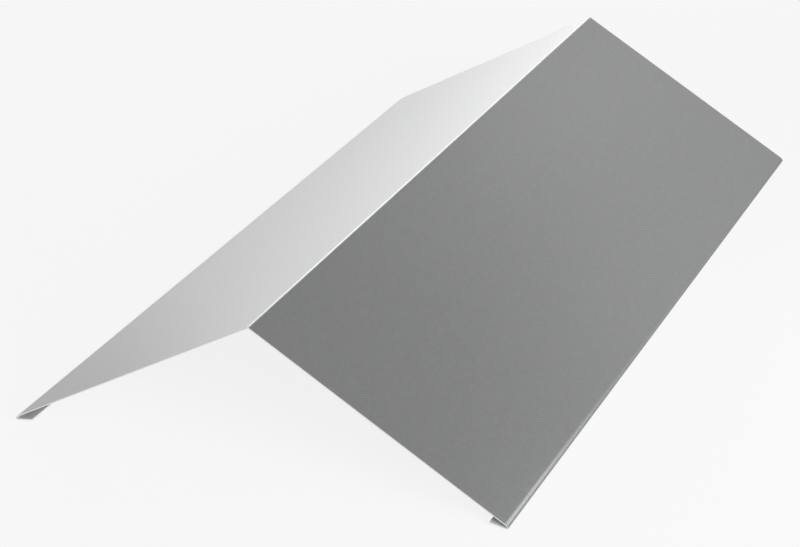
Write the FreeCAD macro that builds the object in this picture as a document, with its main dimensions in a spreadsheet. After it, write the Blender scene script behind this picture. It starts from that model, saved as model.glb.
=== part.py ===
import FreeCAD, Part
import math
import os
import Sketcher
from FreeCAD import Vector

# Roof ridge cap: one length of coated sheet bent along the ridge, with both low edges turned under.
# Frame: X across the ridge, Y along it, Z up. The origin is midway along the cap, under the ridge,
# on the level of the two folded edges that bear on the roof.

doc = FreeCAD.newDocument("RidgeCap")

# Driving sizes, in millimetres and degrees
sizes = [
    ("cap_length", 475.0, "along the ridge"),
    ("wing_width", 150.0, "down the slope, from the sharp ridge line to the folded edge"),
    ("pitch_angle", 30.0, "fall of each wing below level"),
    ("sheet_thickness", 0.6, "coated steel sheet"),
    ("ridge_bend_radius", 0.6, "inside the ridge bend"),
    ("ease_bend_radius", 5.4, "inside the gentle bend before the fold"),
    ("ease_bend_angle", 24.0, "turn of the gentle bend"),
    ("fold_bend_radius", 0.2, "inside the fold"),
    ("lip_length", 8.5, "flat part of the turned lip"),
    ("lip_rise_angle", 10.0, "climb of the lip from the fold inwards"),
]
sheet = doc.addObject("Spreadsheet::Sheet", "Sizes")
value = {}
for row, (name, number, note) in enumerate(sizes, start=1):
    sheet.set(f"A{row}", name)
    sheet.set(f"B{row}", str(number))
    sheet.setAlias(f"B{row}", name)
    sheet.set(f"C{row}", note)
    value[name] = number
doc.recompute()

body = doc.addObject("PartDesign::Body", "Cap")
body.Label = "ridge_cap"
doc.recompute()


def origin_plane(role):
    for feature in body.Origin.OriginFeatures:
        if feature.Role == role:
            return feature
    raise ValueError("the body has no plane " + role)


# First drawing of the right half of the section, worked out from the same sizes.
# The section runs down the wing, round the gentle bend and the fold, and back along the lip.
thickness = value["sheet_thickness"]
pitch = math.radians(value["pitch_angle"])
ease = math.radians(value["ease_bend_angle"])
rise = math.radians(value["lip_rise_angle"])
ridge_outer = value["ridge_bend_radius"] + thickness
ease_outer = value["ease_bend_radius"] + thickness
fold_outer = value["fold_bend_radius"] + thickness

down_slope = Vector(math.cos(pitch), -math.sin(pitch), 0)
off_slope = Vector(math.sin(pitch), math.cos(pitch), 0)
fold_depth = ease_outer - (ease_outer - fold_outer) * math.cos(ease)
fold_run = value["wing_width"] - fold_outer
ease_run = fold_run - (ease_outer - fold_outer) * math.sin(ease)

fold_x = fold_run * math.cos(pitch) - fold_depth * math.sin(pitch)
fold_centre = Vector(fold_x, fold_outer, 0)
sharp_ridge = fold_centre - down_slope * fold_run + off_slope * fold_depth
ease_centre = sharp_ridge + down_slope * ease_run - off_slope * ease_outer
ridge_centre = Vector(0, sharp_ridge.y - ridge_outer / math.cos(pitch), 0)

# Directions out of the sheet, as angles from level
up = math.pi / 2
off_wing = up - pitch
off_ease = off_wing - ease
off_lip = -up - rise


def ray(angle):
    return Vector(math.cos(angle), math.sin(angle), 0)


lip_way = Vector(-math.cos(rise), math.sin(rise), 0)
section = body.newObject("Sketcher::SketchObject", "Section")
section.AttachmentSupport = [(origin_plane("XZ_Plane"), "")]
section.MapMode = "FlatFace"
doc.recompute()


def line(start, end):
    return section.addGeometry(Part.LineSegment(start, end), False)


def arc(centre, radius, first, last):
    circle = Part.Circle(centre, Vector(0, 0, 1), radius)
    return section.addGeometry(Part.ArcOfCircle(circle, first, last), False)


def face_of_sheet(depth):
    ridge = arc(ridge_centre, ridge_outer - depth, off_wing, up)
    wing_top = ridge_centre + ray(off_wing) * (ridge_outer - depth)
    wing_end = ease_centre + ray(off_wing) * (ease_outer - depth)
    wing = line(wing_top, wing_end)
    bend = arc(ease_centre, ease_outer - depth, off_ease, off_wing)
    fold = arc(fold_centre, fold_outer - depth, off_lip, off_ease)
    lip_root = fold_centre + ray(off_lip) * (fold_outer - depth)
    lip_end = lip_root + lip_way * value["lip_length"]
    lip = line(lip_root, lip_end)
    return ridge, wing, bend, fold, lip, lip_end


ridge_top, wing_top, ease_top, fold_top, lip_top, lip_corner = face_of_sheet(0)
ridge_in, wing_in, ease_in, fold_in, lip_in, lip_corner_in = face_of_sheet(thickness)
lip_edge = line(lip_corner, lip_corner_in)
crown = ridge_centre + Vector(0, ridge_outer, 0)
ridge_cut = line(crown - Vector(0, thickness, 0), crown)

# Vertex numbers used by the sketcher. Its own origin is item -1 and its upright axis is item -2.
start, end, centre = range(1, 4)


def constrain(kind, *what):
    return section.addConstraint(Sketcher.Constraint(kind, *what))


def drive(name, expression, kind, *what):
    number = constrain(kind, *what)
    section.renameConstraint(number, name)
    section.setExpression("Constraints." + name, expression)


# The outer and the inner face are each one smooth run from the ridge to the lip
for ridge, wing, bend, fold, lip in (
    (ridge_top, wing_top, ease_top, fold_top, lip_top),
    (ridge_in, wing_in, ease_in, fold_in, lip_in),
):
    constrain("Tangent", ridge, start, wing, start)
    constrain("Tangent", wing, end, bend, end)
    constrain("Tangent", bend, start, fold, end)
    constrain("Tangent", fold, start, lip, start)
constrain("Coincident", lip_top, end, lip_edge, start)
constrain("Coincident", lip_in, end, lip_edge, end)
constrain("Coincident", ridge_in, end, ridge_cut, start)
constrain("Coincident", ridge_top, end, ridge_cut, end)

# Both faces turn about the same centres, so the sheet keeps its thickness
constrain("Coincident", ridge_top, centre, ridge_in, centre)
constrain("Coincident", ease_top, centre, ease_in, centre)
constrain("Coincident", fold_top, centre, fold_in, centre)
constrain("Parallel", wing_top, wing_in)
constrain("Parallel", lip_top, lip_in)
constrain("Perpendicular", lip_edge, lip_top)

# The ridge bend is centred on the upright axis, where the halves meet
for item, vertex in ((ridge_top, centre), (ridge_cut, start), (ridge_cut, end)):
    constrain("PointOnObject", item, vertex, -2)

# Sizes of the section
outer_fold = "(Sizes.fold_bend_radius + Sizes.sheet_thickness)"
outer_ease = "(Sizes.ease_bend_radius + Sizes.sheet_thickness)"
ease_step = "(Sizes.ease_bend_radius - Sizes.fold_bend_radius)"
fold_drop = f"({outer_ease} - {ease_step} * cos(Sizes.ease_bend_angle * 1 deg))"
slope = "Sizes.pitch_angle * 1 deg"
fold_reach = f"(Sizes.wing_width - {outer_fold}) * cos({slope}) - {fold_drop} * sin({slope})"

drive("pitch", f"-{slope}", "Angle", wing_top, -pitch)
drive("lip_climb", "180 deg - Sizes.lip_rise_angle * 1 deg", "Angle", lip_top, math.pi - rise)
drive("ease_turn", "Sizes.ease_bend_angle * 1 deg", "Angle", ease_top, ease)
drive("ridge_inside", "Sizes.ridge_bend_radius", "Radius", ridge_in, value["ridge_bend_radius"])
drive("ease_inside", "Sizes.ease_bend_radius", "Radius", ease_in, value["ease_bend_radius"])
drive("fold_inside", "Sizes.fold_bend_radius", "Radius", fold_in, value["fold_bend_radius"])
drive("thickness", "Sizes.sheet_thickness", "Distance", lip_edge, thickness)
drive("lip", "Sizes.lip_length", "Distance", lip_top, value["lip_length"])
drive("fold_height", outer_fold, "DistanceY", -1, start, fold_top, centre, fold_outer)
drive("fold_across", fold_reach, "DistanceX", -1, start, fold_top, centre, fold_x)
doc.recompute()

# The right half of the cap, as long on one side of the middle as on the other
half = body.newObject("PartDesign::Pad", "RightHalf")
half.Profile = section
half.SideType = "Symmetric"
half.setExpression("Length", "Sizes.cap_length")
doc.recompute()

# The left half, mirrored in the plane of the ridge
whole = body.newObject("PartDesign::Mirrored", "BothHalves")
whole.Originals = [half]
whole.MirrorPlane = (origin_plane("YZ_Plane"), [""])
whole.Refine = True
body.Tip = whole
body.Placement = FreeCAD.Placement(Vector(0, 0, 0), FreeCAD.Rotation())
doc.recompute()

for item in doc.Objects:
    if "Invalid" in item.State or "Error" in item.State:
        raise RuntimeError(f"{item.Name} did not build: {item.State}")
shape = body.Shape
if shape.isNull() or not shape.isValid() or len(shape.Solids) != 1:
    raise RuntimeError(f"{body.Label} is not one valid solid")

os.makedirs("parts", exist_ok=True)
shape.exportStep(f"parts/{body.Label}.step")
box = shape.BoundBox
print(f"{body.Label}: {box.XLength:.3f} x {box.YLength:.3f} x {box.ZLength:.3f}, volume {shape.Volume:.1f}")
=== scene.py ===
import math
import bmesh
import bpy
from mathutils import Matrix, Vector


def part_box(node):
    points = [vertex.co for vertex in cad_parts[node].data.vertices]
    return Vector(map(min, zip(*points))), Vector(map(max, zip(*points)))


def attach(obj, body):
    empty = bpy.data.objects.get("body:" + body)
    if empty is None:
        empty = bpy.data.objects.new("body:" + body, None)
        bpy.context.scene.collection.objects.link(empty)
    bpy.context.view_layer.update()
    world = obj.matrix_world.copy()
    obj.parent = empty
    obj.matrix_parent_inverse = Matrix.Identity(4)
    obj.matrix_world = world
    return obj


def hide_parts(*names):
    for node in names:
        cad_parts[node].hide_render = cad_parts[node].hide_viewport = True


# roof ridge cap: one length of coated sheet, bent along the ridge, both low edges turned under
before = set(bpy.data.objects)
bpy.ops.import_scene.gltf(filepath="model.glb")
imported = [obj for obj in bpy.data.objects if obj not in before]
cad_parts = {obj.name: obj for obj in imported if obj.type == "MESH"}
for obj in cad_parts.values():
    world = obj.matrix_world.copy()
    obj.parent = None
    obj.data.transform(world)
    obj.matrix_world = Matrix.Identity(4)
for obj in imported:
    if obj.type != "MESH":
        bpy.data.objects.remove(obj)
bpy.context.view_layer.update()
mm = 0.001
alongRidge = Vector((0, 1, 0))
print("frame loaded:", ", ".join(sorted(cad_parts)))


# shader helpers
rowGap = 300  # between rows of nodes


def newMaterial(name):
    made = bpy.data.materials.new(name)
    made.use_nodes = True
    made.node_tree.nodes.clear()
    return made, made.node_tree.nodes, made.node_tree.links


def addNode(nodes, kind, place, **settings):
    node = nodes.new(kind)
    node.location = place
    for name, value in settings.items():
        setattr(node, name, value)
    return node


def setInputs(node, **values):  # an underscore stands for the space in a socket's name
    for name, value in values.items():
        node.inputs[name.replace("_", " ")].default_value = value


# grain of the rolled sheet, shared by its three finishes
sheetPattern = {
    "speckDetail": 1.0,
    "cloudScale": 11.0,
    "cloudDetail": 3.0,
    "rollStretch": (420.0, 7.0, 420.0),
    "rollDetail": 3.0,
    "rollRoughness": 0.55,
    "toneSwing": 0.1,  # change of tone that takes the roughness to the end of its spread
}
noiseMiddle = 0.5
plainTone = 1.0  # leaves a colour as it is


def sheetGrainGroup():
    group = bpy.data.node_groups.new("sheetGrain", "ShaderNodeTree")
    sockets = group.interface
    sockets.new_socket("Coordinates", in_out="INPUT", socket_type="NodeSocketVector")
    for name in ("Grain Size", "Grain", "Cloud", "Roll Lines"):
        sockets.new_socket(name, in_out="INPUT", socket_type="NodeSocketFloat")
    for name in ("Tone", "Height"):
        sockets.new_socket(name, in_out="OUTPUT", socket_type="NodeSocketFloat")
    nodes, links = group.nodes, group.links
    source = addNode(nodes, "NodeGroupInput", (-1100, 0))
    out = addNode(nodes, "NodeGroupOutput", (0, 0))

    specks = addNode(nodes, "ShaderNodeTexNoise", (-700, 300))  # fine specks in the coat
    setInputs(specks, Detail=sheetPattern["speckDetail"])
    links.new(source.outputs["Coordinates"], specks.inputs["Vector"])
    links.new(source.outputs["Grain Size"], specks.inputs["Scale"])

    cloud = addNode(nodes, "ShaderNodeTexNoise", (-700, 0))  # slow drift over a hand's breadth
    setInputs(cloud, Scale=sheetPattern["cloudScale"], Detail=sheetPattern["cloudDetail"])
    links.new(source.outputs["Coordinates"], cloud.inputs["Vector"])

    stretch = addNode(nodes, "ShaderNodeMapping", (-900, -300))  # drawn out along the ridge
    setInputs(stretch, Scale=sheetPattern["rollStretch"])
    links.new(source.outputs["Coordinates"], stretch.inputs["Vector"])
    rolled = addNode(nodes, "ShaderNodeTexNoise", (-700, -300))
    setInputs(rolled, Scale=1.0, Detail=sheetPattern["rollDetail"])
    setInputs(rolled, Roughness=sheetPattern["rollRoughness"])
    links.new(stretch.outputs["Vector"], rolled.inputs["Vector"])

    # each noise, centred and scaled by its own amount, is added to the plain tone
    total = None
    layers = ((specks, "Grain"), (cloud, "Cloud"), (rolled, "Roll Lines"))
    for k, (noise, amount) in enumerate(layers):
        row = rowGap * (1 - k)
        centred = addNode(nodes, "ShaderNodeMath", (-480, row), operation="SUBTRACT")
        centred.inputs[1].default_value = noiseMiddle
        links.new(noise.outputs["Fac"], centred.inputs[0])
        scaled = addNode(nodes, "ShaderNodeMath", (-280, row), operation="MULTIPLY_ADD")
        links.new(centred.outputs[0], scaled.inputs[0])
        links.new(source.outputs[amount], scaled.inputs[1])
        if total is None:
            scaled.inputs[2].default_value = plainTone
        else:
            links.new(total, scaled.inputs[2])
        total = scaled.outputs[0]
    links.new(total, out.inputs["Tone"])
    links.new(specks.outputs["Fac"], out.inputs["Height"])
    return group


sheetGrain = sheetGrainGroup()

# satin coat outside
coatLook = {
    "colour": (0.415, 0.425, 0.42),
    "metallic": 0.6,
    "roughness": 0.285,
    "roughnessSpread": 0.036,
    "grainSize": 390.0,
    "grain": 0.16,
    "cloud": 0.03,
    "rollLines": 0.015,
    "bumpDepth": 0.004 * mm,
    # from one height to another in mm, from one tone to another:
    # painted shade darkening the tight fold, painted highlight brightening the ridge bend
    "paintedBendLight": ((1.1, 1.6, 0.68, 1.0), (76.05, 76.2, 1.0, 1.8)),
}
# paler matt coat inside
backLook = {
    "colour": (0.66, 0.665, 0.66),
    "metallic": 0.0,
    "roughness": 0.6,
    "roughnessSpread": 0.08,
    "grainSize": 700.0,
    "grain": 0.08,
    "cloud": 0.05,
    "rollLines": 0.02,
    "bumpDepth": 0.004 * mm,
    "paintedBendLight": (),
}
# bare metal where the sheet was cut
cutLook = {
    "colour": (0.76, 0.765, 0.76),
    "metallic": 0.9,
    "roughness": 0.38,
    "roughnessSpread": 0.16,
    "grainSize": 5200.0,
    "grain": 0.18,
    "cloud": 0.03,
    "rollLines": 0.0,
    "bumpDepth": 0.01 * mm,
    "paintedBendLight": (),
}


def sheetMaterial(name, look):
    made, nodes, links = newMaterial(name)
    place = addNode(nodes, "ShaderNodeTexCoord", (-1100, 0))
    grain = addNode(nodes, "ShaderNodeGroup", (-650, 0), node_tree=sheetGrain)
    setInputs(grain, Grain_Size=look["grainSize"], Grain=look["grain"])
    setInputs(grain, Cloud=look["cloud"], Roll_Lines=look["rollLines"])
    links.new(place.outputs["Object"], grain.inputs["Coordinates"])

    tone = grain.outputs["Tone"]
    # painted shade and painted highlight: bands by height that darken or brighten the colour's
    # tone
    for k, (low, high, lowTone, highTone) in enumerate(look["paintedBendLight"]):
        row = 400 + rowGap * k
        height = addNode(nodes, "ShaderNodeSeparateXYZ", (-850, row))
        links.new(place.outputs["Object"], height.inputs["Vector"])
        paintedLightBand = addNode(nodes, "ShaderNodeMapRange", (-650, row))
        setInputs(paintedLightBand, From_Min=low * mm, From_Max=high * mm, To_Min=lowTone, To_Max=highTone)
        links.new(height.outputs["Z"], paintedLightBand.inputs["Value"])
        both = addNode(nodes, "ShaderNodeMath", (-480, row), operation="MULTIPLY")
        links.new(paintedLightBand.outputs["Result"], both.inputs[0])
        links.new(tone, both.inputs[1])
        tone = both.outputs[0]
    tint = addNode(nodes, "ShaderNodeMix", (-300, 200), data_type="RGBA", blend_type="MULTIPLY")
    tintColour, tintTone, tinted = tint.inputs[6], tint.inputs[7], tint.outputs[2]
    tint.inputs["Factor"].default_value = 1.0
    tintColour.default_value = (*look["colour"], 1.0)
    links.new(tone, tintTone)

    rough = addNode(nodes, "ShaderNodeMapRange", (-300, -50))
    swing = sheetPattern["toneSwing"]
    spread = look["roughness"] * look["roughnessSpread"]
    setInputs(rough, From_Min=plainTone - swing, From_Max=plainTone + swing)
    setInputs(rough, To_Min=look["roughness"] - spread, To_Max=look["roughness"] + spread)
    links.new(grain.outputs["Tone"], rough.inputs["Value"])

    bump = addNode(nodes, "ShaderNodeBump", (-300, -350))
    setInputs(bump, Distance=look["bumpDepth"])
    links.new(grain.outputs["Height"], bump.inputs["Height"])

    surface = addNode(nodes, "ShaderNodeBsdfPrincipled", (0, 0))
    setInputs(surface, Metallic=look["metallic"])
    links.new(tinted, surface.inputs["Base Color"])
    links.new(rough.outputs["Result"], surface.inputs["Roughness"])
    links.new(bump.outputs["Normal"], surface.inputs["Normal"])
    out = addNode(nodes, "ShaderNodeOutputMaterial", (300, 0))
    links.new(surface.outputs["BSDF"], out.inputs["Surface"])
    return made


coatedSheet = sheetMaterial("coatedSheet", coatLook)
cutSheet = sheetMaterial("cutSheet", cutLook)
backCoat = sheetMaterial("backCoat", backLook)
print("materials made")

# the cap, in millimetres and degrees: a line bent from the crown of the ridge to the lip,
# mirrored, drawn out along the ridge and given the sheet's thickness
cap = {
    "length": 475.0,
    "wing": 150.0,
    "pitch": 30.0,
    "sheet": 0.6,
    "ridgeInside": 0.6,
    "easeInside": 5.4,
    "easeTurn": 24.0,
    "foldInside": 0.2,
    "lip": 8.5,
    "lipRise": 10.0,
    "ridgeSteps": 6,
    "easeSteps": 8,
    "foldSteps": 20,
    "lengthSteps": 19,
    "edgeFlat": 0.5,  # narrow strip beside a bend, which keeps the bend's shading off the flat
    "burr": 0.04,  # bevel on the cut rims
    "burrSteps": 2,
    "rimAngle": 60.0,  # edges sharper than this are cut rims
    "creaseAngle": 20.0,  # gentler edges are shaded smooth
    "weld": 0.001,  # points nearer than this become one
}
coatSlot, cutSlot, backSlot = range(3)


def pick(geom, kind):
    return [g for g in geom if isinstance(g, kind)]


# outer line of the sheet's section, which runs straight on or bends inwards
class BentLine:
    def __init__(self, bm, start):
        self.bm = bm
        self.tip = bm.verts.new(start)
        self.turned = 0.0

    def heading(self):
        return Vector((math.cos(self.turned), 0, -math.sin(self.turned)))

    def outward(self):
        return Vector((math.sin(self.turned), 0, math.cos(self.turned)))

    def run(self, distance):
        self.tip = bmesh.ops.extrude_vert_indiv(self.bm, verts=[self.tip])["verts"][0]
        bmesh.ops.translate(self.bm, verts=[self.tip], vec=self.heading() * distance * mm)

    def bend(self, radius, degrees, steps):
        centre = self.tip.co - self.outward() * radius * mm
        turn = math.radians(degrees)
        made = bmesh.ops.spin(self.bm, geom=[self.tip], cent=centre, axis=alongRidge,
                              angle=turn, steps=steps)
        self.tip = pick(made["geom_last"], bmesh.types.BMVert)[0]
        self.turned += turn


def makeCap():
    sheet = cap["sheet"]
    edgeFlat = cap["edgeFlat"]
    ridgeOuter = cap["ridgeInside"] + sheet
    easeOuter = cap["easeInside"] + sheet
    foldOuter = cap["foldInside"] + sheet
    easeReach = (easeOuter - foldOuter) * math.sin(math.radians(cap["easeTurn"]))
    ridgeReach = ridgeOuter * math.tan(math.radians(cap["pitch"]))
    flat = cap["wing"] - foldOuter - easeReach - ridgeReach
    foldTurn = 180 - cap["pitch"] + cap["lipRise"] - cap["easeTurn"]
    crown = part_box("ridge_cap")[1].z

    bm = bmesh.new()
    line = BentLine(bm, (0, -cap["length"] / 2 * mm, crown))
    line.bend(ridgeOuter, cap["pitch"], cap["ridgeSteps"])
    line.run(edgeFlat)
    line.run(flat - 2 * edgeFlat)
    line.run(edgeFlat)
    line.bend(easeOuter, cap["easeTurn"], cap["easeSteps"])
    line.bend(foldOuter, foldTurn, cap["foldSteps"])
    line.run(edgeFlat)
    line.run(cap["lip"] - edgeFlat)
    weld = cap["weld"] * mm
    bmesh.ops.remove_doubles(bm, verts=bm.verts[:], dist=weld)
    bmesh.ops.mirror(bm, geom=bm.verts[:] + bm.edges[:], axis="X", merge_dist=weld)

    step = alongRidge * cap["length"] / cap["lengthSteps"] * mm
    edges = bm.edges[:]
    for _ in range(cap["lengthSteps"]):
        drawn = bmesh.ops.extrude_edge_only(bm, edges=edges)["geom"]
        verts = pick(drawn, bmesh.types.BMVert)
        bmesh.ops.translate(bm, verts=verts, vec=step)
        moved = set(verts)
        edges = [e for e in pick(drawn, bmesh.types.BMEdge) if moved.issuperset(e.verts)]
    bmesh.ops.recalc_face_normals(bm, faces=bm.faces[:])
    top = max(bm.faces, key=lambda f: f.calc_center_median().z)
    if top.normal.z < 0:
        bmesh.ops.reverse_faces(bm, faces=bm.faces[:])
    outer = bm.faces[:]
    shell = bmesh.ops.solidify(bm, geom=outer, thickness=sheet * mm)["geom"]
    inner = pick(shell, bmesh.types.BMFace)
    bm.normal_update()

    # coat outside, back coat inside, bare metal on the cut ends and lip edges between them
    for faces, slot in ((bm.faces, cutSlot), (outer, coatSlot), (inner, backSlot)):
        for face in faces:
            face.material_index = slot
            face.smooth = True
    rimAngle = math.radians(cap["rimAngle"])
    rims = [e for e in bm.edges if e.is_manifold and e.calc_face_angle() > rimAngle]
    bmesh.ops.bevel(bm, geom=rims, offset=cap["burr"] * mm, offset_type="OFFSET",
                    segments=cap["burrSteps"], profile=0.5, affect="EDGES", material=-1)
    mesh = bpy.data.meshes.new("capSheet")
    bm.to_mesh(mesh)
    bm.free()
    mesh.set_sharp_from_angle(angle=math.radians(cap["creaseAngle"]))
    made = bpy.data.objects.new("capSheet", mesh)
    bpy.context.scene.collection.objects.link(made)
    for material in (coatedSheet, cutSheet, backCoat):  # in the order of the slots
        made.data.materials.append(material)
    return made


capSheet = makeCap()
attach(capSheet, "root")
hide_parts("ridge_cap")
print("cap made:", len(capSheet.data.polygons), "faces")

# the floor, pale grey to the light and mostly plain white to the eye and in reflections
floorLook = {
    "size": 60.0,
    "colour": (0.92, 0.92, 0.92),
    "glow": 0.85,  # share of plain white, the rest keeps the shadow
}


def makeFloor():
    bm = bmesh.new()
    bmesh.ops.create_grid(bm, x_segments=1, y_segments=1, size=floorLook["size"] / 2)
    mesh = bpy.data.meshes.new("floor")
    bm.to_mesh(mesh)
    bm.free()
    made = bpy.data.objects.new("floor", mesh)
    bpy.context.scene.collection.objects.link(made)
    material, nodes, links = newMaterial("paleFloor")
    seen = addNode(nodes, "ShaderNodeLightPath", (-700, 200))
    rays = seen.outputs["Is Camera Ray"]
    for k, other in enumerate(("Is Glossy Ray", "Is Transmission Ray")):
        either = addNode(nodes, "ShaderNodeMath", (-520 + 170 * k, 200), operation="MAXIMUM")
        links.new(rays, either.inputs[0])
        links.new(seen.outputs[other], either.inputs[1])
        rays = either.outputs[0]
    share = addNode(nodes, "ShaderNodeMath", (-180, 200), operation="MULTIPLY")
    share.inputs[1].default_value = floorLook["glow"]
    links.new(rays, share.inputs[0])
    diffuse = addNode(nodes, "ShaderNodeBsdfDiffuse", (-180, 0))
    diffuse.inputs["Color"].default_value = (*floorLook["colour"], 1.0)
    white = addNode(nodes, "ShaderNodeEmission", (-180, -150))
    setInputs(white, Color=(1, 1, 1, 1), Strength=1.0)
    mix = addNode(nodes, "ShaderNodeMixShader", (50, 0))
    links.new(share.outputs[0], mix.inputs["Fac"])
    links.new(diffuse.outputs["BSDF"], mix.inputs[1])
    links.new(white.outputs["Emission"], mix.inputs[2])
    out = addNode(nodes, "ShaderNodeOutputMaterial", (250, 0))
    links.new(mix.outputs["Shader"], out.inputs["Surface"])
    made.data.materials.append(material)
    return made


makeFloor()
print("floor made")

# soft studio light, in metres and watts: cards behind that the left wing mirrors, a large card
# for the right wing, a high one in front for the wings seen from behind, a small one for the hem
capMiddle = (0.0, 0.0, 0.04)
ridgeLine = (0.0, 0.0, 0.07)
nearHem = (0.128, -0.225, 0.006)
lamps = {
    "lowBackLeft": {
        "place": (-0.748, 1.296, 0.173), "aim": capMiddle, "size": (1.1, 0.345), "watts": 2.48,
    },
    "midBackLeft": {
        "place": (-0.677, 1.273, 0.453), "aim": capMiddle, "size": (0.7, 0.34), "watts": 0.8,
    },
    "ridgeCard": {
        "place": (-0.662, 1.147, 0.744), "aim": ridgeLine, "size": (0.5, 0.38), "watts": 1.4,
    },
    "back": {
        "place": (0.093, 1.321, 0.744), "aim": capMiddle, "size": (0.4, 0.4), "watts": 0.151,
    },
    "backRight": {
        "place": (0.383, 1.337, 0.602), "aim": capMiddle, "size": (0.52, 0.4), "watts": 0.258,
    },
    "frontRight": {
        "place": (1.155, -0.809, 0.553), "aim": capMiddle, "size": (0.8, 0.8), "watts": 12.8,
    },
    "frontHigh": {
        "place": (0.082, -0.933, 1.080), "aim": capMiddle, "size": (1.0, 0.8), "watts": 1.0,
    },
    "hemCard": {
        "place": (0.34, 0.078, 0.159), "aim": nearHem, "size": (0.14, 0.11), "watts": 0.084,
    },
}
# grey level of the surroundings by their height above the horizon, in degrees
sky = {0.0: 0.3, 12.0: 0.68, 28.0: 0.12, 50.0: 0.2, 90.0: 0.52}


def makeLamp(name, lamp):
    light = bpy.data.lights.new(name, "AREA")
    light.shape = "RECTANGLE"
    light.size, light.size_y = lamp["size"]
    light.energy = lamp["watts"]
    made = bpy.data.objects.new(name, light)
    bpy.context.scene.collection.objects.link(made)
    made.visible_camera = False
    made.location = lamp["place"]
    ray = Vector(lamp["aim"]) - Vector(lamp["place"])
    made.rotation_euler = ray.to_track_quat("-Z", "Y").to_euler()


for name, lamp in lamps.items():
    makeLamp(name, lamp)


def makeWorld():
    world = bpy.data.worlds.new("studio")
    bpy.context.scene.world = world
    world.use_nodes = True
    nodes, links = world.node_tree.nodes, world.node_tree.links
    nodes.clear()
    place = addNode(nodes, "ShaderNodeTexCoord", (-700, 0))
    split = addNode(nodes, "ShaderNodeSeparateXYZ", (-500, 0))
    links.new(place.outputs["Generated"], split.inputs["Vector"])
    ramp = addNode(nodes, "ShaderNodeValToRGB", (-300, 0))
    stops = ramp.color_ramp.elements
    while len(stops) < len(sky):
        stops.new(0.5)  # placed below
    for stop, (height, level) in zip(stops, sorted(sky.items())):
        stop.position = math.sin(math.radians(height))
        stop.color = (level, level, level, 1.0)
    links.new(split.outputs["Z"], ramp.inputs["Fac"])
    light = addNode(nodes, "ShaderNodeBackground", (0, 0))
    links.new(ramp.outputs["Color"], light.inputs["Color"])
    out = addNode(nodes, "ShaderNodeOutputWorld", (200, 0))
    links.new(light.outputs["Background"], out.inputs["Surface"])


makeWorld()
print("light made")

# the camera, where the photograph was taken from, in millimetres and degrees
camera = {
    "place": (443.25, -1089.56, 554.55),
    "azimuth": 23.327,
    "elevation": 25.200,
    "roll": 0.149,
    "lens": 105.238,
    "sensor": 36.0,
    "clip": (50.0, 50000.0),
}


def makeCamera():
    data = bpy.data.cameras.new("camera")
    data.sensor_width = camera["sensor"]
    data.lens = camera["lens"]
    data.clip_start, data.clip_end = (distance * mm for distance in camera["clip"])
    made = bpy.data.objects.new("camera", data)
    bpy.context.scene.collection.objects.link(made)
    made.location = Vector(camera["place"]) * mm
    turn = Matrix.Rotation(math.radians(camera["azimuth"]), 3, "Z")
    tip = Matrix.Rotation(math.radians(90 - camera["elevation"]), 3, "X")
    roll = Matrix.Rotation(math.radians(camera["roll"]), 3, "Z")
    made.rotation_euler = (turn @ tip @ roll).to_euler()
    bpy.context.scene.camera = made


makeCamera()
bpy.context.scene.view_settings.view_transform = "Standard"
print("camera made")
